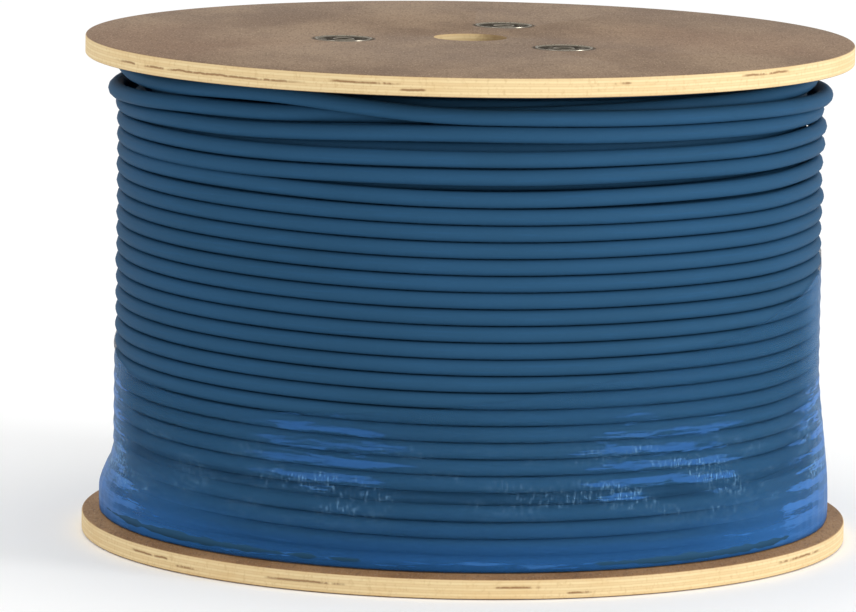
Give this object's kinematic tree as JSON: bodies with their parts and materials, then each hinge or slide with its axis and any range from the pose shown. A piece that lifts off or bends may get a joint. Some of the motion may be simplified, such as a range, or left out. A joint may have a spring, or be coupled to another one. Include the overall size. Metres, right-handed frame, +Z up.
{
  "type": "cable reel",
  "caption": "Open plywood reel wound full of blue round data cable, with a spindle hole through both flanges and clear stretch film round the lower turns.",
  "frame": {"origin": "centre of the lower flange's outer face, where the reel's axis meets the surface it stands on", "axes": "+Z up along the reel's axis, from the lower flange to the upper one; -Y towards the side where the film's edge lies lowest"},
  "size_m": [0.3999, 0.4, 0.2603],
  "materials": {
    "plywood": "sanded birch-type plywood, bare, brown face veneer and pale edges",
    "core_board": "spiral-wound brown fibreboard, matt",
    "cable_sheath": "dark blue satin cable sheath",
    "film": "clear glossy stretch film with wrinkles",
    "zinc_steel": "zinc-plated steel",
    "nickel_steel": "bright plated pressed steel"
  },
  "bodies": {
    "root": {"bottom_flange": "plywood", "top_flange": "plywood", "core_tube": "core_board", "cable_winding": "cable_sheath", "cable_upper_slack_turn": "cable_sheath", "cable_lower_slack_turn": "cable_sheath", "cable_inner_end": "cable_sheath", "stretch_film": "film", "tie_bolt_1": "zinc_steel", "bolt_washer_1": "zinc_steel", "tee_nut_1": "nickel_steel", "tie_bolt_2": "zinc_steel", "bolt_washer_2": "zinc_steel", "tee_nut_2": "nickel_steel", "tie_bolt_3": "zinc_steel", "bolt_washer_3": "zinc_steel", "tee_nut_3": "nickel_steel"}
  },
  "joints": []
}
